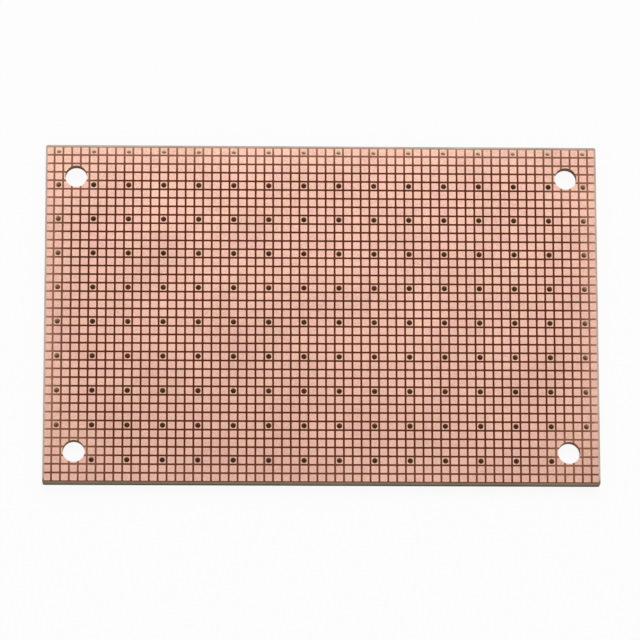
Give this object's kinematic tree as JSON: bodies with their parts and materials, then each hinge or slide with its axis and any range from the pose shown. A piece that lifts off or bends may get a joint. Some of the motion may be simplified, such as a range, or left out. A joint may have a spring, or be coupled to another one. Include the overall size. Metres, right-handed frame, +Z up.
{
  "type": "prototype board",
  "caption": "Bare surface-mount prototype board with a grid of square copper pads, wire holes, corner mounting holes and a copper ground plane underneath.",
  "frame": {"origin": "under the middle of the board, on the plane that the ground plane rests on", "axes": "+X along the board's length, +Y across its width towards the far long side, +Z up through its thickness towards the pads"},
  "size_m": [0.08, 0.05, 0.0016],
  "materials": {
    "laminate": "bare glass and epoxy laminate, slightly translucent, satin",
    "copper": "bare etched copper with a clear anti-tarnish finish, satin"
  },
  "bodies": {
    "root": {"board_laminate": "laminate", "ground_plane": "copper", "pad_row_01": "copper", "pad_row_02": "copper", "pad_row_03": "copper", "pad_row_04": "copper", "pad_row_05": "copper", "pad_row_06": "copper", "pad_row_07": "copper", "pad_row_08": "copper", "pad_row_09": "copper", "pad_row_10": "copper", "pad_row_11": "copper", "pad_row_12": "copper", "pad_row_13": "copper", "pad_row_14": "copper", "pad_row_15": "copper", "pad_row_16": "copper", "pad_row_17": "copper", "pad_row_18": "copper", "pad_row_19": "copper", "pad_row_20": "copper", "pad_row_21": "copper", "pad_row_22": "copper", "pad_row_23": "copper", "pad_row_24": "copper", "pad_row_25": "copper", "pad_row_26": "copper", "pad_row_27": "copper", "pad_row_28": "copper", "pad_row_29": "copper", "pad_row_30": "copper", "pad_row_31": "copper", "pad_row_32": "copper", "pad_row_33": "copper", "pad_row_34": "copper", "pad_row_35": "copper", "pad_row_36": "copper", "pad_row_37": "copper", "pad_row_38": "copper", "pad_row_39": "copper"}
  },
  "joints": []
}
